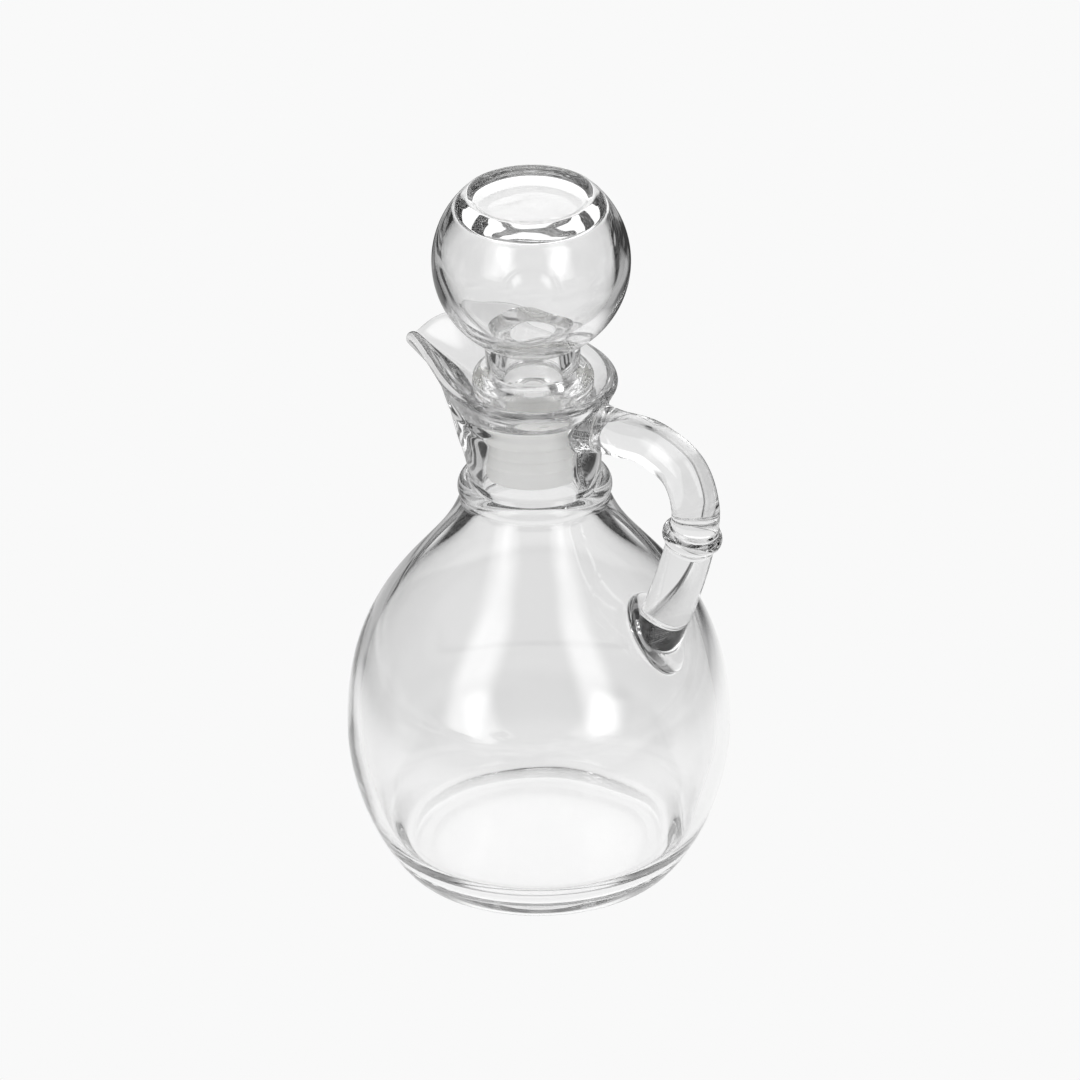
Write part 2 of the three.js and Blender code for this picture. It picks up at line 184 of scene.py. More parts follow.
corners = np.array([(-1, -1, 0), (1, -1, 0), (1, 1, 0), (-1, 1, 0)]) * TABLE_HALF_WIDTH - [0, 0, TABLE_GAP]
table = mesh_piece("light_table", corners, [(0, 1, 2, 3)], light_table_acrylic())


# The studio above the table is dim, with a tall soft box on each side of the camera and a pale sweep
# behind the cruet. The boxes' reflections draw the two upright bands on the bottle, and the dim room
# between them its dark edges.
CEILING_GLOWS, CEILING_ANGLES = (0.03, 0.4), (14.0, 34.0)
HORIZON_GLOW, HORIZON_ANGLES = 0.8, (10.0, 34.0)
ROOM_FILL = 1.0
PALE_BACKDROP = "#f9f9f9"
NO_TINT = (1.0, 1.0, 1.0, 1.0)
# Least share of a direction along a panel's axis, which keeps the slopes finite beside and behind it
LEAST_AHEAD = 0.02
PANELS = (
    # azimuth from the camera, elevation, half width, half height, soft edge (all degrees), strength
    (-47.0, 27.0, 11.5, 29.0, 13.0, 2.8),
    (40.0, 27.0, 9.5, 29.0, 12.0, 2.8),
    # the pale sweep behind the cruet
    (180.0, 24.0, 26.0, 34.0, 12.0, 1.2),
)


def panel_glow(tree, direction, azimuth, elevation, half_width, half_height, soft, strength):
    """The light of a rectangular panel in the direction looked in: the direction's parts across the panel,
    divided by its part along the panel's own axis, are two slopes, and each fades past its half size."""
    away = back_of_view(VIEW_AZIMUTH + azimuth, elevation)
    side = np.cross([0.0, 0.0, 1.0], away)
    side /= np.linalg.norm(side)
    top = np.cross(away, side)
    ahead = add_node(tree, "ShaderNodeVectorMath", {0: direction}, operation="DOT_PRODUCT")
    ahead.inputs[1].default_value = away
    in_front = add_node(tree, "ShaderNodeMath", {0: ahead.outputs["Value"]}, operation="MAXIMUM")
    in_front.inputs[1].default_value = LEAST_AHEAD
    fades = []
    for axis, half in ((side, half_width), (top, half_height)):
        across = add_node(tree, "ShaderNodeVectorMath", {0: direction}, operation="DOT_PRODUCT")
        across.inputs[1].default_value = axis
        slope = add_node(tree, "ShaderNodeMath", {0: across.outputs["Value"], 1: in_front.outputs[0]},
                         operation="DIVIDE")
        size = add_node(tree, "ShaderNodeMath", {0: slope.outputs[0]}, operation="ABSOLUTE")
        fades.append(graded(tree, size.outputs[0], math.tan(math.radians(half - soft / 2)),
                            math.tan(math.radians(half + soft / 2)), 1.0, 0.0))
    glow = add_node(tree, "ShaderNodeMath", {0: fades[0], 1: fades[1]}, operation="MULTIPLY")
    lit = add_node(tree, "ShaderNodeMath", {0: glow.outputs[0]}, operation="MULTIPLY")
    lit.inputs[1].default_value = strength
    return lit.outputs[0]


def rise_of(angles):
    """The heights of unit directions at these elevations in degrees."""
    return [math.sin(math.radians(angle)) for angle in angles]


def studio_room():
    """The camera sees the pale backdrop. Glass mirrors the room, and what is seen through glass is the
    brighter of the room and a glow that fades upwards from the horizon. Matt surfaces get one even fill."""
    world = bpy.data.worlds.new("studio_room")
    world.use_nodes = True
    tree = world.node_tree
    tree.nodes.clear()
    direction = add_node(tree, "ShaderNodeTexCoord").outputs["Generated"]
    total = panel_glow(tree, direction, *PANELS[0])
    for panel in PANELS[1:]:
        glow = panel_glow(tree, direction, *panel)
        total = add_node(tree, "ShaderNodeMath", {0: total, 1: glow}, operation="ADD").outputs[0]
    path = add_node(tree, "ShaderNodeLightPath")
    height = add_node(tree, "ShaderNodeSeparateXYZ", {0: direction}).outputs["Z"]
    overhead = graded(tree, height, *rise_of(CEILING_ANGLES), *CEILING_GLOWS)
    brightness = add_node(tree, "ShaderNodeMath", {0: total, 1: overhead}, operation="ADD")
    mirrored = add_node(tree, "ShaderNodeMath", {0: path.outputs["Glossy Depth"]}, operation="GREATER_THAN")
    horizon = graded(tree, height, *rise_of(HORIZON_ANGLES), HORIZON_GLOW, 0.0)
    behind = add_node(tree, "ShaderNodeMath", {0: brightness.outputs[0], 1: horizon}, operation="MAXIMUM")
    clear_view = add_node(tree, "ShaderNodeMix", {0: mirrored.outputs[0], 2: behind.outputs[0],
                                                  3: brightness.outputs[0]})
    scattered = add_node(tree, "ShaderNodeMath", {0: path.outputs["Diffuse Depth"]},
                         operation="GREATER_THAN")
    strength = add_node(tree, "ShaderNodeMix", {0: scattered.outputs[0], 2: clear_view.outputs[0]})
    strength.inputs[3].default_value = ROOM_FILL
    room = add_node(tree, "ShaderNodeBackground", {"Strength": strength.outputs[0]}, Color=NO_TINT)
    backdrop = add_node(tree, "ShaderNodeBackground", Color=linear(PALE_BACKDROP), Strength=1.0)
    mixed = add_node(tree, "ShaderNodeMixShader", {0: path.outputs["Is Camera Ray"], 1: room.outputs[0],
                                                   2: backdrop.outputs[0]})
    add_node(tree, "ShaderNodeOutputWorld", {"Surface": mixed.outputs[0]})
    return world


scene.world = studio_room()


# The bottle is one piece of pressed and fire-polished soda-lime glass: an egg-shaped body, a ringed neck
# and a mouth drawn out into a lip. Sizes are in millimetres; a pair is a radius and a height.
BASE_RADIUS = 32.9
BASE_EDGE_INSET, BASE_EDGE_ROUNDING, BASE_EDGE_STEPS, BASE_EDGE_END = 0.9, 1.6, 8, 3
BELLY = (45.0, 33.8)
HEEL_LEAN = (2.4, 1.0)
BELLY_PULLS = (17.8, 37.2)
SHOULDER_TOP = (17.3, 95.0)
SHOULDER_PULL = (5.9, -19.7)
HEEL_STEPS, SHOULDER_STEPS = 34, 80
WALL, WALL_THICKENS_FROM = 3.2, 0.5
FLOOR_THICKNESS = 3.5
FLOOR_CURVE_TOP, FLOOR_CURVE_PULL, FLOOR_CURVE_STEPS = 13.0, 9.0, 26
FLOOR_FLAT_PULL, FLOOR_FLAT_RADIUS = 27.0, 17.0
RING = (15.6, 97.5, 2.35)
RING_ANGLES, RING_STEPS = (-62.0, 82.0), 22
NECK_FOOT = (15.3, 101.0)
NECK_TOP = (15.9, 116.0)
MOUTH_START = ((15.4, 102.0), (15.85, 115.5))
STEP = (16.5, 117.3)
BORE_RADIUS, BORE_ROUNDING = 11.7, 0.7
BORE_HEIGHTS = (98.0, 119.4)
CUP_FOOT = (14.9, 119.6)
OUTSIDE_FOOT = (16.3, 118.8)
OUTSIDE_BROW = (18.9, 123.4)
BROW_TO_RIM = 0.4
MOUTH_ROUNDING = 0.8
LEDGE = (13.6, 119.9)
RIM_CIRCLE = (17.9, 124.2)
RIM_OVAL = 1.0
RIM_HALF_WALL = 1.45
LIP_REACH, LIP_SPREAD = 15.1, 20.6
RIM_RISE, RIM_RISE_SPREAD = 5.5, 68.0
LIP_DROOP, LIP_DROOP_SPREAD = 4.8, 8.1
LIP_PULL_START, LIP_PULL_CURVE = 107.0, 1.3
THROAT_SWELL, THROAT_SWELL_START, THROAT_SWELL_RISE = 3.2, 100.5, 17.0
# Turns round the rim in half circles, and shares of the way from the ledge to the rim, with their counts
RIM_TURNS, CUP_SHARES = (0.04, 0.96, 24), (0.9, 0.0, 16)
BOTTLE_SIDES, LIP_DENSITY = 192, 0.45
BASE_ROW_LENGTH, MOUTH_ROW_LENGTH, BORE_ROW_LENGTH, FLOOR_ROW_LENGTH = 3.0, 0.6, 1.0, 2.5
# The inner skin's unevenness, and the heights over which it starts and ends
WALL_RIPPLE, WALL_RIPPLE_LENGTH, WALL_RIPPLE_SEED = 0.16, 34.0, 4
WALL_RIPPLE_START, WALL_RIPPLE_END = (6.0, 20.0), (88.0, 97.0)
RIPPLE_WAVES, RIPPLE_SPREAD, RIPPLE_GAIN = 7, (0.7, 1.6), 1.6
MILLIMETRE = 0.001
NEARLY_ZERO = 1e-6


def bezier(p0, p1, p2, p3, steps):
    """A cubic Bezier curve's points, and its unit tangents."""
    t = np.linspace(0.0, 1.0, steps + 1)[:, None]
    p0, p1, p2, p3 = map(np.asarray, (p0, p1, p2, p3))
    points = (1 - t) ** 3 * p0 + 3 * t * (1 - t) ** 2 * p1 + 3 * t ** 2 * (1 - t) * p2 + t ** 3 * p3
    slope = (1 - t) ** 2 * (p1 - p0) + 2 * t * (1 - t) * (p2 - p1) + t ** 2 * (p3 - p2)
    return points, slope / np.linalg.norm(slope, axis=1, keepdims=True)


def body_outline(depth, heel_steps, shoulder_steps):
    """The body's profile from base edge to neck, each point moved inwards by depth(share of shoulder
    climbed)."""
    heel, heel_along = bezier(
        (BASE_RADIUS, 0.0), (BASE_RADIUS + HEEL_LEAN[0], HEEL_LEAN[1]),
        (BELLY[0], BELLY[1] - BELLY_PULLS[0]), BELLY, heel_steps)
    shoulder, shoulder_along = bezier(
        BELLY, (BELLY[0], BELLY[1] + BELLY_PULLS[1]),
        (SHOULDER_TOP[0] + SHOULDER_PULL[0], SHOULDER_TOP[1] + SHOULDER_PULL[1]), SHOULDER_TOP,
        shoulder_steps)
    points = np.vstack([heel, shoulder[1:]])
    along = np.vstack([heel_along, shoulder_along[1:]])
    climbed = np.concatenate([np.zeros(heel_steps + 1), np.linspace(0.0, 1.0, shoulder_steps + 1)[1:]])
    inwards = depth(climbed)[:, None]
    return points + inwards * np.column_stack([-along[:, 1], along[:, 0]])


def arc(centre, radius, start, end, steps):
    """Points on a circle between two angles in degrees."""
    turn = np.radians(np.linspace(start, end, steps + 1))
    return np.column_stack([centre[0] + radius * np.cos(turn), centre[1] + radius * np.sin(turn)])


def finer(points, longest):
    """The same outline with extra points on its straight stretches, none longer than the given length."""
    points = np.asarray(points, float)
    parts = [points[:1]]
    for start, end in zip(points[:-1], points[1:]):
        steps = max(1, math.ceil(np.linalg.norm(end - start) / longest))
        share = np.linspace(0.0, 1.0, steps + 1)[1:, None]
        parts.append(start + share * (end - start))
    return np.vstack(parts)


def rounded(points, radius, steps=5):
    """An outline whose inner corners are replaced by quadratic curves. They start radius before each
    corner, or just short of the side's middle where the side is too short for that."""
    points = np.asarray(points, float)
    short_of_middle = 0.45
    parts = [points[:1]]
    t = np.linspace(0.0, 1.0, steps + 1)[:, None]
    for before, corner, after in zip(points[:-2], points[1:-1], points[2:]):
        backwards, onwards = before - corner, after - corner
        back_length, onward_length = np.linalg.norm(backwards), np.linalg.norm(onwards)
        reach = min(radius, short_of_middle * back_length, short_of_middle * onward_length)
        start = corner + backwards / back_length * reach
        end = corner + onwards / onward_length * reach
        parts.append((1 - t) ** 2 * start + 2 * t * (1 - t) * corner + t ** 2 * end)
    parts.append(points[-1:])
    return np.vstack(parts)


def circle_point(azimuth, radius, height):
    """A point at an azimuth measured from the lip."""
    parts = np.broadcast_arrays(-radius * np.cos(azimuth), radius * np.sin(azimuth), height)
    return np.stack(parts, axis=-1)


def rim_centre(azimuth):
    """The rim's centre line: a circle, pulled out and up towards the lip, with a droop at its tip."""
    wrapped = (azimuth + np.pi) % (2 * np.pi) - np.pi
    degrees = np.degrees(np.abs(wrapped))
    facing = (1 + np.cos(azimuth)) / 2
    reach = RIM_OVAL * facing + LIP_REACH * facing / (1 + (degrees / LIP_SPREAD) ** 2)
    rise = RIM_RISE * np.exp(-(degrees / RIM_RISE_SPREAD) ** 2)
    droop = LIP_DROOP * np.exp(-(degrees / LIP_DROOP_SPREAD) ** 2)
    return circle_point(azimuth, RIM_CIRCLE[0] + reach, RIM_CIRCLE[1] + rise - droop)


def rim_point(azimuth, turn):
    """A point on the round rim: turn 0 faces outwards, a quarter turn up, and a half turn inwards."""
    step = 0.01
    centre = rim_centre(azimuth)
    along = rim_centre(azimuth + step) - rim_centre(azimuth - step)
    along /= np.linalg.norm(along, axis=-1, keepdims=True)
    rise = centre - circle_point(azimuth, *CUP_FOOT)
    rise -= along * np.sum(rise * along, axis=-1, keepdims=True)
    rise /= np.linalg.norm(rise, axis=-1, keepdims=True)
    outwards = np.cross(along, rise)
    facing = np.sum(outwards * circle_point(azimuth, 1.0, 0.0), axis=-1, keepdims=True)
    outwards *= np.where(facing < 0, -1.0, 1.0)
    return centre + RIM_HALF_WALL * (np.cos(turn) * outwards + np.sin(turn) * rise)


def pulled(azimuth, radius, height, swell, pull, rim_turn, plain_rim):
    """A round skin's points, swollen under the lip, and moved by the share called pull of the way that the
    rim has moved from a plain round mouth."""
    facing = (1 + np.cos(azimuth)) / 2
    point = circle_point(azimuth, radius + swell * facing * (1 - pull), height)
    shift = rim_point(azimuth, rim_turn) - circle_point(azimuth, *plain_rim)
    return point + shift * np.asarray(pull)[..., None]


def smooth_step(value, low, high):
    """0 below low, 1 above high, and a smooth curve between."""
    t = np.clip((value - low) / (high - low), 0.0, 1.0)
    return t * t * (3 - 2 * t)


def mouth_grid(azimuth):
    """Rows of points from the neck's outside over the rim to the ledge inside, each for every azimuth."""
    outside_rim = (OUTSIDE_BROW[0] + BROW_TO_RIM, RIM_CIRCLE[1])
    inside_rim = (RIM_CIRCLE[0] - RIM_HALF_WALL, RIM_CIRCLE[1])
    rows = finer(rounded([*MOUTH_START, STEP, OUTSIDE_FOOT, OUTSIDE_BROW], MOUTH_ROUNDING), MOUTH_ROW_LENGTH)
    radius, height = rows[:, :1], rows[:, 1:]
    climbed = np.clip((height - LIP_PULL_START) / (RIM_CIRCLE[1] - LIP_PULL_START), 0.0, None)
    pull = climbed ** LIP_PULL_CURVE + 0 * azimuth
    swell = THROAT_SWELL * smooth_step(height, THROAT_SWELL_START, THROAT_SWELL_START + THROAT_SWELL_RISE)
    outside = pulled(azimuth[None], radius, height, swell, pull, 0.0, outside_rim)
    turns = np.linspace(*RIM_TURNS)[:, None] * np.pi
    rim = rim_point(azimuth[None] + 0 * turns, turns[..., None])
    share = np.linspace(*CUP_SHARES)[:, None]
    inside_radius = LEDGE[0] + share * (inside_rim[0] - LEDGE[0])
    inside_height = LEDGE[1] + share * (inside_rim[1] - LEDGE[1])
    inside = pulled(azimuth[None], inside_radius, inside_height, 0.0, share + 0 * azimuth, np.pi, inside_rim)
    return np.concatenate([outside, rim, inside])


def turned_grid(profile, azimuth):
    """Every profile point at every azimuth."""
    profile = np.asarray(profile, float)
    return circle_point(azimuth[None], profile[:, :1], profile[:, 1:] + 0 * azimuth)


def band_faces(ring, next_ring, sides):
    """Four-sided faces all round, between each ring and the ring that comes next to it."""
    side = np.arange(sides)
    after = (side + 1) % sides
    start, next_start = ring[:, None] * sides, next_ring[:, None] * sides
    faces = np.stack([start + side, next_start + side, next_start + after, start + after], axis=-1)
    return faces.reshape(-1, 4).tolist()


def closed_skin(grid):
    """Points and faces of a grid of rings whose first and last points lie on the axis. Faces point
    outwards when the rings run up the outside and down the inside."""
    first, last = grid[0].mean(axis=0), grid[-1].mean(axis=0)
    rings = grid[1:-1]
    count, sides = rings.shape[:2]
    points = np.vstack([rings.reshape(-1, 3), first, last])
    ring = np.arange(count - 1)
    around = np.arange(sides)
    following = (around + 1) % sides
    pole, top = count * sides, (count - 1) * sides
    low = np.stack([np.full(sides, pole), around, following], axis=-1)
    high = np.stack([np.full(sides, pole + 1), top + following, top + around], axis=-1)
    return points, band_faces(ring, ring + 1, sides) + low.tolist() + high.tolist()


def ripple(points, size, seed):
    """A smooth unevenness between about -1 and 1: a sum of waves in different directions, of about one
    wave per size."""
    random = np.random.default_rng(seed)
    total = np.zeros(points.shape[:-1])
    for _ in range(RIPPLE_WAVES):
        direction = random.normal(size=3)
        direction /= np.linalg.norm(direction)
        wave = size * random.uniform(*RIPPLE_SPREAD)
        total += np.sin(points @ direction * 2 * np.pi / wave + random.uniform(0, 2 * np.pi))
    return total / RIPPLE_WAVES * RIPPLE_GAIN


def wall_depth(climbed):
    """The wall's thickness, which grows towards the neck until the inside meets the bore."""
    share = np.clip((climbed - WALL_THICKENS_FROM) / (1 - WALL_THICKENS_FROM), 0.0, None)
    return WALL + (SHOULDER_TOP[0] - BORE_RADIUS - WALL) * share ** 2


def bottle_azimuths():
    """The bottle's sides, closer together round the lip: each turn u becomes u less a share of its sine."""
    turn = np.arange(BOTTLE_SIDES) / BOTTLE_SIDES * 2 * np.pi
    return turn - LIP_DENSITY * np.sin(turn)


def bottle_shell():
    """Outside up, over the rim and down the inside, round the whole circle."""
    azimuth = bottle_azimuths()
    outside = body_outline(lambda climbed: 0 * climbed, HEEL_STEPS, SHOULDER_STEPS)
    base = rounded([(0, 0), (BASE_RADIUS - BASE_EDGE_INSET, 0), outside[BASE_EDGE_END]],
                   BASE_EDGE_ROUNDING, BASE_EDGE_STEPS)
    ring = arc(RING[:2], RING[2], *RING_ANGLES, RING_STEPS)
    below = np.vstack([finer(base, BASE_ROW_LENGTH), outside[BASE_EDGE_END + 1:], ring, [NECK_FOOT]])
    inside = body_outline(wall_depth, HEEL_STEPS, SHOULDER_STEPS)
    inside = inside[inside[:, 1] > FLOOR_CURVE_TOP][::-1]
    downwards = (inside[-1] - inside[-2]) / np.linalg.norm(inside[-1] - inside[-2])
    corner, _ = bezier(inside[-1], inside[-1] + downwards * FLOOR_CURVE_PULL,
                       (FLOOR_FLAT_PULL, FLOOR_THICKNESS), (FLOOR_FLAT_RADIUS, FLOOR_THICKNESS),
                       FLOOR_CURVE_STEPS)
    floor = np.vstack([corner, [(0, FLOOR_THICKNESS)]])
    bore = rounded([LEDGE, (BORE_RADIUS, BORE_HEIGHTS[1]), (BORE_RADIUS, BORE_HEIGHTS[0]), inside[0]],
                   BORE_ROUNDING)
    hollow = np.vstack([finer(bore, BORE_ROW_LENGTH)[1:], inside[1:], finer(floor[1:], FLOOR_ROW_LENGTH)])
    inner = turned_grid(hollow, azimuth)
    height = inner[..., 2]
    outwards = inner * [1, 1, 0]
    outwards /= np.maximum(np.linalg.norm(outwards, axis=-1, keepdims=True), NEARLY_ZERO)
    uneven = WALL_RIPPLE * ripple(inner, WALL_RIPPLE_LENGTH, WALL_RIPPLE_SEED)
    uneven *= smooth_step(height, *WALL_RIPPLE_START)
    uneven *= 1 - smooth_step(height, *WALL_RIPPLE_END)
    inner = inner + outwards * uneven[..., None]
    outer = turned_grid(below, azimuth)
    return closed_skin(np.concatenate([outer, mouth_grid(azimuth), inner]) * MILLIMETRE)


# The glass is clear and bright, with a slight grey where it is thick. Its fire polish leaves a faint
# wave in the surface and, here and there, a trace of a smudge. Lengths in the materials are in metres.
GLASS_COLOUR = "#fdfdfd"
GLASS_REFRACTION = 1.51
GLASS_BODY_COLOUR = "#000000"
GLASS_ABSORPTION = 5.0
PRESSED_WAVE = (0.03, 0.0001)
SMUDGE_SCALE, SMUDGE_EDGES, SMUDGE_ROUGHNESS = 90.0, (0.5, 0.8), 0.035


def soda_lime_glass(name, wave_size, wave_depth):
    """Fire-polished glass: the bump gives soft waves in its reflections, the roughness a few dull
    smudges, and the absorption the grey of thick glass."""
    material, tree = bare_material(name)
    place = add_node(tree, "ShaderNodeTexCoord")
    wide = add_node(tree, "ShaderNodeTexNoise", {"Vector": place.outputs["Object"]}, Scale=1 / wave_size,
                    Detail=1.0, Roughness=0.4)
    bump = add_node(tree, "ShaderNodeBump", {"Height": wide.outputs["Fac"]}, Strength=1.0,
                    Distance=wave_depth)
    smudge = add_node(tree, "ShaderNodeTexNoise", {"Vector": place.outputs["Object"]},
                      Scale=SMUDGE_SCALE, Detail=4.0, Roughness=0.6)
    rough = add_node(tree, "ShaderNodeMapRange", {"Value": smudge.outputs["Fac"]},
                     From_Min=SMUDGE_EDGES[0], From_Max=SMUDGE_EDGES[1], To_Min=0.0, To_Max=SMUDGE_ROUGHNESS)
    glass = add_node(tree, "ShaderNodeBsdfPrincipled",
                     {"Normal": bump.outputs["Normal"], "Roughness": rough.outputs["Result"]},
                     Base_Color=linear(GLASS_COLOUR), Transmission_Weight=1.0, IOR=GLASS_REFRACTION)
    depth = add_node(tree, "ShaderNodeVolumeAbsorption", Color=linear(GLASS_BODY_COLOUR),
                     Density=GLASS_ABSORPTION)
    add_node(tree, "ShaderNodeOutputMaterial",
             {"Surface": glass.outputs["BSDF"], "Volume": depth.outputs["Volume"]})
    return material


# The handle is a solid rod of the same glass, laid hot onto the neck, bent round and pressed onto the
# shoulder, with a tooled bead and two fine ridges halfway down. It becomes one piece with the bottle.
HANDLE_ROUTE = [(13.6, 118.0), (24.0, 118.6), (33.8, 119.0), (43.0, 114.8), (46.4, 106.0), (44.9, 96.7),
                (41.2, 84.5), (34.2, 66.5)]
ROD_RADII = (5.2, 5.9)
ROD_FLARE, ROD_FLARE_LENGTH = 1.5, 6.0
BEAD_HEIGHT, BEAD_PROUD, BEAD_HALF_LENGTH = 98.8, 1.4, 1.7
RIDGE_PROUD, RIDGE_PLACE, RIDGE_HALF_LENGTH = 0.35, 2.3, 0.6
SPAN_SAMPLES, ROD_ROWS, ROD_SIDES = 60, 260, 56
# Each pad of glass under an end of the rod: centre, half sizes, and tilt in degrees
NECK_PAD = ((13.4, 0.0, 110.8), (4.4, 5.0, 11.0), 0.0)
FOOT_PAD = ((34.6, 0.0, 69.2), (10.4, 6.6, 3.9), 55.0)
PAD_ROWS, PAD_SIDES = 40, 64
CORE_DEPTH, CORE_FOOT_HEIGHT, CORE_OVER_RIM = 1.8, 1, 3
CORE_HEEL_STEPS, CORE_SHOULDER_STEPS = 20, 60
# The melted joint, in metres: how far it reaches, the share of that which moves fully, and its rounds
SEAM_REACH, SEAM_FULL_SHARE = 0.0016, 0.4
SEAM_ROUNDS, SEAM_STEP, SEAM_BATCH = 14, 0.6, 2000
MICROMETRES = 1e6
KEY_BASE = 2 ** 20
SHARP_ANGLE = 50


def centripetal_curve(points, samples):
    """A centripetal Catmull-Rom curve through the points: each span blends the lines through its four
    nearest points, with knots spaced by the square root of the distance."""
    points = np.asarray(points, float)
    points = np.vstack([2 * points[0] - points[1], points, 2 * points[-1] - points[-2]])
    spans = []
    for p in range(1, len(points) - 2):
        near = points[p - 1:p + 3]
        knots = np.concatenate([[0], np.cumsum(np.linalg.norm(np.diff(near, axis=0), axis=1) ** 0.5)])
        t = np.linspace(knots[1], knots[2], samples, endpoint=False)[:, None]
        line = [((knots[i + 1] - t) * near[i] + (t - knots[i]) * near[i + 1]) / (knots[i + 1] - knots[i])
                for i in range(3)]
        bend = [((knots[i + 2] - t) * line[i] + (t - knots[i]) * line[i + 1]) / (knots[i + 2] - knots[i])
                for i in range(2)]
        spans.append(((knots[2] - t) * bend[0] + (t - knots[1]) * bend[1]) / (knots[2] - knots[1]))
    return np.vstack([*spans, points[-2:-1]])


def handle_rod():
    """Rings of the rod's radius round its route, with a flare at the neck and a bead halfway down."""
    route = centripetal_curve(HANDLE_ROUTE, SPAN_SAMPLES)
    length = np.concatenate([[0], np.cumsum(np.linalg.norm(np.diff(route, axis=0), axis=1))])
    total = length[-1]
    at = np.linspace(0.0, total, ROD_ROWS)
    x, z = np.interp(at, length, route[:, 0]), np.interp(at, length, route[:, 1])
    along = np.column_stack([np.gradient(x, at), np.gradient(z, at)])
    along /= np.linalg.norm(along, axis=1, keepdims=True)
    falling = at > total / 2
    bead_at = np.interp(-BEAD_HEIGHT, -z[falling], at[falling])
    radius = ROD_RADII[0] + (ROD_RADII[1] - ROD_RADII[0]) * at / total
    radius = radius + ROD_FLARE * np.exp(-(at / ROD_FLARE_LENGTH) ** 2)
    from_bead = np.abs(at - bead_at) / BEAD_HALF_LENGTH
    radius = radius + BEAD_PROUD * np.sqrt(np.clip(1 - from_bead ** 2, 0, None))
    from_ridge = (np.abs(at - bead_at) - RIDGE_PLACE) / RIDGE_HALF_LENGTH
    radius = radius + RIDGE_PROUD * np.sqrt(np.clip(1 - from_ridge ** 2, 0, None))
    turn = np.arange(ROD_SIDES) / ROD_SIDES * 2 * np.pi
    across = np.cos(turn)[None] * radius[:, None]
    sideways = -np.sin(turn)[None] * radius[:, None]
    rings = np.stack([x[:, None] + across * along[:, 1:], sideways, z[:, None] - across * along[:, :1]],
                     axis=-1)
    centre = np.stack([x, 0 * x, z], axis=-1)[:, None] + 0 * rings
    grid = np.concatenate([centre[:1], rings, centre[-1:]])
    return closed_skin(grid * MILLIMETRE)


def pad(centre, size, tilt):
    """An ellipsoid, tilted about the Y axis by an angle in degrees."""
    down = np.radians(np.linspace(-90.0, 90.0, PAD_ROWS))[:, None]
    around = np.arange(PAD_SIDES) / PAD_SIDES * 2 * np.pi
    ball = np.stack(np.broadcast_arrays(np.cos(down) * np.cos(around), -np.cos(down) * np.sin(around),
                                        np.sin(down) + 0 * around), axis=-1) * size
    angle = math.radians(tilt)
    turned = np.stack([ball[..., 0] * math.cos(angle) + ball[..., 2] * math.sin(angle), ball[..., 1],
                       -ball[..., 0] * math.sin(angle) + ball[..., 2] * math.cos(angle)], axis=-1)
    return closed_skin((turned + centre) * MILLIMETRE)


def bottle_core():
    """The space just inside the bottle's outer skin, which the handle's glass stays out of."""
    body = body_outline(lambda climbed: CORE_DEPTH + 0 * climbed, CORE_HEEL_STEPS, CORE_SHOULDER_STEPS)
    top = RIM_CIRCLE[1] + CORE_OVER_RIM
    neck = [(NECK_FOOT[0] - CORE_DEPTH, NECK_FOOT[1]), (NECK_TOP[0] - CORE_DEPTH, NECK_TOP[1])]
    profile = np.vstack([[(0, CORE_FOOT_HEIGHT)], body[body[:, 1] > CORE_FOOT_HEIGHT], neck,
                         [CUP_FOOT, RIM_CIRCLE, (RIM_CIRCLE[0], top), (0, top)]])
    return closed_skin(turned_grid(profile, bottle_azimuths()) * MILLIMETRE)


def combined(target, operation, tool):
    """The target's mesh cut or joined with the tool's, which is then removed."""
    change = target.modifiers.new("combine", "BOOLEAN")
    change.operation = operation
    change.solver = "MANIFOLD"
    change.object = tool
    graph = bpy.context.evaluated_depsgraph_get()
    mesh = bpy.data.meshes.new_from_object(target.evaluated_get(graph))
    target.modifiers.clear()
    target.data = mesh
    bpy.data.objects.remove(tool)


def vertex_places(piece):
    """The piece's vertices as an array."""
    places = np.empty(len(piece.data.vertices) * 3, np.float32)
    piece.data.vertices.foreach_get("co", places)
    return places.reshape(-1, 3).astype(float)


def micrometre_keys(places):
    """One whole number for each place, the same where places agree to a micrometre: x, y and z in
    micrometres are its digits to a base more than twice as large as any of them."""
    return np.round(places * MICROMETRES).astype(np.int64) @ np.array([KEY_BASE ** 2, KEY_BASE, 1])


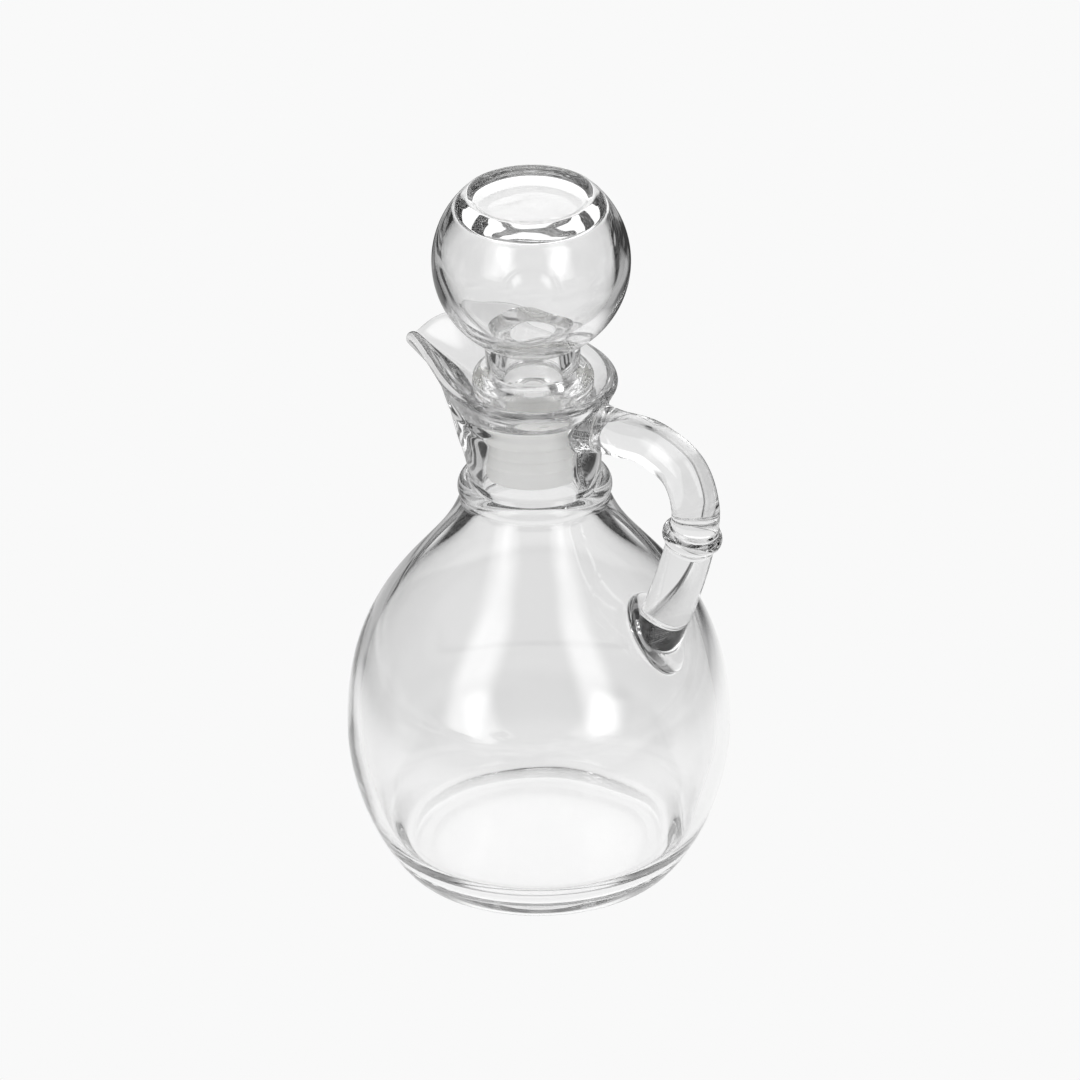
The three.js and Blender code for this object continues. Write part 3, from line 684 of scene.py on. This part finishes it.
def melt_joint(piece, known_places):
    """Softens the crease where two shapes were joined, as hot glass does. Its vertices are the ones that
    neither shape had. They and those within reach move towards the mean of their neighbours, several
    times over."""
    places = vertex_places(piece)
    seam = places[~np.isin(micrometre_keys(places), micrometre_keys(known_places))]
    low, high = seam.min(axis=0) - SEAM_REACH, seam.max(axis=0) + SEAM_REACH
    near = np.flatnonzero(np.all((places > low) & (places < high), axis=1))
    gap = np.full(len(near), 1.0)
    for start in range(0, len(near), SEAM_BATCH):
        batch = places[near[start:start + SEAM_BATCH]]
        gap[start:start + SEAM_BATCH] = np.linalg.norm(batch[:, None] - seam[None], axis=2).min(axis=1)
    pull = np.zeros(len(places))
    pull[near] = 1 - smooth_step(gap, SEAM_REACH * SEAM_FULL_SHARE, SEAM_REACH)
    ends = np.empty(len(piece.data.edges) * 2, np.int32)
    piece.data.edges.foreach_get("vertices", ends)
    one, other = ends.reshape(-1, 2).T
    one, other = np.concatenate([one, other]), np.concatenate([other, one])
    moving = pull[one] > 0
    one, other = one[moving], other[moving]
    count = np.maximum(np.bincount(one, minlength=len(places)), 1)[:, None]
    for _ in range(SEAM_ROUNDS):
        sums = [np.bincount(one, places[other, i], len(places)) for i in range(3)]
        places += SEAM_STEP * pull[:, None] * (np.stack(sums, axis=1) / count - places)
    piece.data.vertices.foreach_set("co", places.astype(np.float32).ravel())
    piece.data.update()


bottle_glass = soda_lime_glass("pressed_soda_lime_glass", *PRESSED_WAVE)
glass_bottle = mesh_piece("glass_bottle", *bottle_shell(), bottle_glass)
handle = mesh_piece("handle_rod", *handle_rod(), bottle_glass)
combined(handle, "UNION", mesh_piece("neck_pad", *pad(*NECK_PAD), bottle_glass))
combined(handle, "UNION", mesh_piece("foot_pad", *pad(*FOOT_PAD), bottle_glass))
combined(handle, "DIFFERENCE", mesh_piece("bottle_core", *bottle_core(), bottle_glass))
known = np.vstack([vertex_places(glass_bottle), vertex_places(handle)])
combined(glass_bottle, "UNION", handle)
melt_joint(glass_bottle, known)
glass_bottle.data.shade_smooth()
glass_bottle.data.set_sharp_from_angle(angle=math.radians(SHARP_ANGLE))
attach(glass_bottle, "root")
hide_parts("bottle")


# The stopper is blown from one gather of glass: a hollow ball with a shallow bowl sunk into its flat
# top, on a stem that is open below. Its inside is less even than its outside, so what shows through it
# wavers.
BALL_RADIUS, BALL_HEIGHT, BALL_WALL = 22.8, 155.7, 3.0
BALL_RIM_RADIUS = 15.4
# From the rim into the bowl: radius, and height over the rim
CROWN = ((14.6, 0.35), (13.7, 0.0), (12.4, -0.9), (9.5, -1.6), (5.0, -1.9))
BOWL_DEPTH, CEILING_THICKNESS = 1.9, 3.0
WAIST = (10.8, 129.1)
PLUG_RADII = (9.9, 9.2)
PLUG_FOOT_HEIGHT = 104.0
STEM_BORE = (5.4, 6.5)
STEM_BORE_TAPER_HEIGHT = 126.1
STEM_ROUNDING, CROWN_ROUNDING, ROOF_ROUNDING, FOOT_ROUNDING = 0.6, 1.4, 3.0, 1.6
ROUNDING_STEPS, BALL_STEPS, HOLLOW_STEPS, ROOF_END = 8, 90, 80, 4
STOPPER_ROW_LENGTH, STOPPER_SIDES = 1.2, 176
BALL_RIPPLE, BALL_RIPPLE_LENGTH, BALL_RIPPLE_SEED = 0.22, 17.0, 8
BALL_RIPPLE_START = (132, 142)
BLOWN_WAVE = (0.012, 0.00005)


def stopper_shell():
    """The profile from the hollow's ceiling down the inside to the stem's foot, then up the outside to the
    bowl, all round, with the inside made uneven. Both ends are closed at a pole on the axis."""
    azimuth = np.arange(STOPPER_SIDES) / STOPPER_SIDES * 2 * np.pi
    centre = (0, BALL_HEIGHT)
    hollow_radius = BALL_RADIUS - BALL_WALL
    rim_top = BALL_HEIGHT + math.sqrt(BALL_RADIUS ** 2 - BALL_RIM_RADIUS ** 2)
    bowl_floor = rim_top - BOWL_DEPTH
    ceiling = bowl_floor - CEILING_THICKNESS
    low = -math.degrees(math.acos(WAIST[0] / BALL_RADIUS))
    high = math.degrees(math.acos(BALL_RIM_RADIUS / BALL_RADIUS))
    hollow_high = math.degrees(math.asin((ceiling - BALL_HEIGHT) / hollow_radius))
    hollow_low = -math.degrees(math.acos(STEM_BORE[0] / hollow_radius))
    ball = arc(centre, BALL_RADIUS, low, high, BALL_STEPS)
    hollow = arc(centre, hollow_radius, hollow_high, hollow_low, HOLLOW_STEPS)
    under_stem = ((STEM_BORE[1] + PLUG_RADII[1]) / 2, PLUG_FOOT_HEIGHT)
    stem = rounded([under_stem, (PLUG_RADII[1], PLUG_FOOT_HEIGHT), (PLUG_RADII[0], WAIST[1]), WAIST,
                    ball[1]], STEM_ROUNDING)
    crown = rounded([ball[-2], *((radius, rim_top + rise) for radius, rise in CROWN), (0, bowl_floor)],
                    CROWN_ROUNDING, ROUNDING_STEPS)
    outside = np.vstack([finer(stem, STOPPER_ROW_LENGTH), ball[2:-2], finer(crown, STOPPER_ROW_LENGTH)])
    roof = rounded([(0, ceiling), hollow[0], hollow[ROOF_END]], ROOF_ROUNDING, ROUNDING_STEPS)
    foot = rounded([hollow[-2], hollow[-1], (STEM_BORE[1], STEM_BORE_TAPER_HEIGHT),
                    (STEM_BORE[1], PLUG_FOOT_HEIGHT), under_stem], FOOT_ROUNDING, ROUNDING_STEPS)
    inside = np.vstack([finer(roof, STOPPER_ROW_LENGTH), hollow[ROOF_END + 1:-2],
                        finer(foot, STOPPER_ROW_LENGTH)])
    inner = turned_grid(inside[1:-1], azimuth)
    outer = turned_grid(outside[:-1], azimuth)
    from_centre = inner - [0, 0, BALL_HEIGHT]
    from_centre /= np.linalg.norm(from_centre, axis=-1, keepdims=True)
    uneven = BALL_RIPPLE * ripple(inner, BALL_RIPPLE_LENGTH, BALL_RIPPLE_SEED)
    uneven *= smooth_step(inner[..., 2], *BALL_RIPPLE_START)
    inner = inner + from_centre * uneven[..., None]
    underside = circle_point(azimuth, 0.0, ceiling)[None]
    bowl = circle_point(azimuth, 0.0, bowl_floor)[None]
    return closed_skin(np.concatenate([underside, inner, outer, bowl]) * MILLIMETRE)


stopper_glass = soda_lime_glass("blown_soda_lime_glass", *BLOWN_WAVE)
glass_stopper = mesh_piece("glass_stopper", *stopper_shell(), stopper_glass)
glass_stopper.data.set_sharp_from_angle(angle=math.radians(SHARP_ANGLE))
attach(glass_stopper, "root")
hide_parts("stopper")


# The sleeve is a collar of unpigmented low-density polyethylene, moulded in one piece and pushed onto
# the stopper's stem. It is clear at its flange and matt below, and grips the bore by three fine ribs.
SLEEVE_RADII = (11.1, 10.3)
SLEEVE_FOOT_HEIGHT, SLEEVE_TAPER_HEIGHT = 102.4, 105.0
SLEEVE_GAP = 0.3
RIB_PROUD, RIB_HEIGHTS, RIB_HALF_HEIGHT = 0.3, (107.0, 110.0, 113.0), 0.5
FLANGE_FOOT_HEIGHT = 122.6
FLANGE_EDGE = ((13.1, 122.6), (14.0, 123.6), (14.0, 126.2), (13.3, 127.3), (12.0, 128.4))
SLEEVE_TOP_HEIGHT = 128.7
SLEEVE_ROUNDING, SLEEVE_ROUNDING_STEPS = 0.35, 3
SLEEVE_ROW_LENGTH, SLEEVE_SIDES = 1.0, 160
# The sleeve's two looks, and the height in metres at which one gives way to the other
MATT_COLOUR, MATT_ROUGHNESS, MATT_CLARITY = "#f7f7f6", 0.42, 0.25
FLANGE_COLOUR, FLANGE_ROUGHNESS = "#fafafa", 0.07
MATT_TOP_HEIGHT, MATT_FADE = 0.1205, 0.002
GRAIN_SCALE, GRAIN_STRENGTH, GRAIN_DEPTH = 700.0, 0.3, 0.00003
POLYETHYLENE_REFRACTION = 1.51


def sleeve_mesh():
    """The collar's closed profile, carried round the axis, and joined at its start."""
    azimuth = np.arange(SLEEVE_SIDES) / SLEEVE_SIDES * 2 * np.pi
    ribs = [(SLEEVE_RADII[0] + proud, middle + offset) for middle in RIB_HEIGHTS
            for proud, offset in ((0.0, -RIB_HALF_HEIGHT), (RIB_PROUD, 0.0), (0.0, RIB_HALF_HEIGHT))]
    inner_foot = (PLUG_RADII[1] + SLEEVE_GAP, SLEEVE_FOOT_HEIGHT)
    underside = ((inner_foot[0] + SLEEVE_RADII[1]) / 2, SLEEVE_FOOT_HEIGHT)
    outline = [underside, (SLEEVE_RADII[1], SLEEVE_FOOT_HEIGHT), (SLEEVE_RADII[0], SLEEVE_TAPER_HEIGHT),
               *ribs, (SLEEVE_RADII[0], FLANGE_FOOT_HEIGHT), *FLANGE_EDGE,
               (PLUG_RADII[0] + SLEEVE_GAP, SLEEVE_TOP_HEIGHT), inner_foot, underside]
    profile = finer(rounded(outline, SLEEVE_ROUNDING, SLEEVE_ROUNDING_STEPS), SLEEVE_ROW_LENGTH)[:-1]
    grid = turned_grid(profile, azimuth) * MILLIMETRE
    ring = np.arange(len(profile))
    return grid.reshape(-1, 3), band_faces(ring, (ring + 1) % len(profile), SLEEVE_SIDES)


def clear_polyethylene():
    """Unpigmented polyethylene: waxy clear on the flange, matt and milky below it, with a fine moulded
    grain."""
    material, tree = bare_material("clear_polyethylene")
    place = add_node(tree, "ShaderNodeTexCoord")
    grain = add_node(tree, "ShaderNodeTexNoise", {"Vector": place.outputs["Object"]}, Scale=GRAIN_SCALE,
                     Detail=3.0)
    bump = add_node(tree, "ShaderNodeBump", {"Height": grain.outputs["Fac"]}, Strength=GRAIN_STRENGTH,
                    Distance=GRAIN_DEPTH)
    height = add_node(tree, "ShaderNodeSeparateXYZ", {0: place.outputs["Object"]}).outputs["Z"]
    edge = (MATT_TOP_HEIGHT - MATT_FADE, MATT_TOP_HEIGHT)
    rough = graded(tree, height, *edge, MATT_ROUGHNESS, FLANGE_ROUGHNESS)
    tone = graded(tree, height, *edge, 0.0, 1.0)
    colour = add_node(tree, "ShaderNodeMix", {0: tone}, data_type="RGBA")
    colour.inputs[6].default_value = linear(MATT_COLOUR)
    colour.inputs[7].default_value = linear(FLANGE_COLOUR)
    clear = add_node(tree, "ShaderNodeMapRange", {"Value": tone}, To_Min=MATT_CLARITY, To_Max=1.0)
    wax = add_node(tree, "ShaderNodeBsdfPrincipled",
                   {"Base Color": colour.outputs[2], "Roughness": rough,
                    "Transmission Weight": clear.outputs[0], "Normal": bump.outputs["Normal"]},
                   IOR=POLYETHYLENE_REFRACTION)
    add_node(tree, "ShaderNodeOutputMaterial", {"Surface": wax.outputs["BSDF"]})
    return material


sealing_sleeve = mesh_piece("sealing_sleeve", *sleeve_mesh(), clear_polyethylene())
sealing_sleeve.data.set_sharp_from_angle(angle=math.radians(SHARP_ANGLE))
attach(sealing_sleeve, "root")
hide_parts("stopper_sleeve")
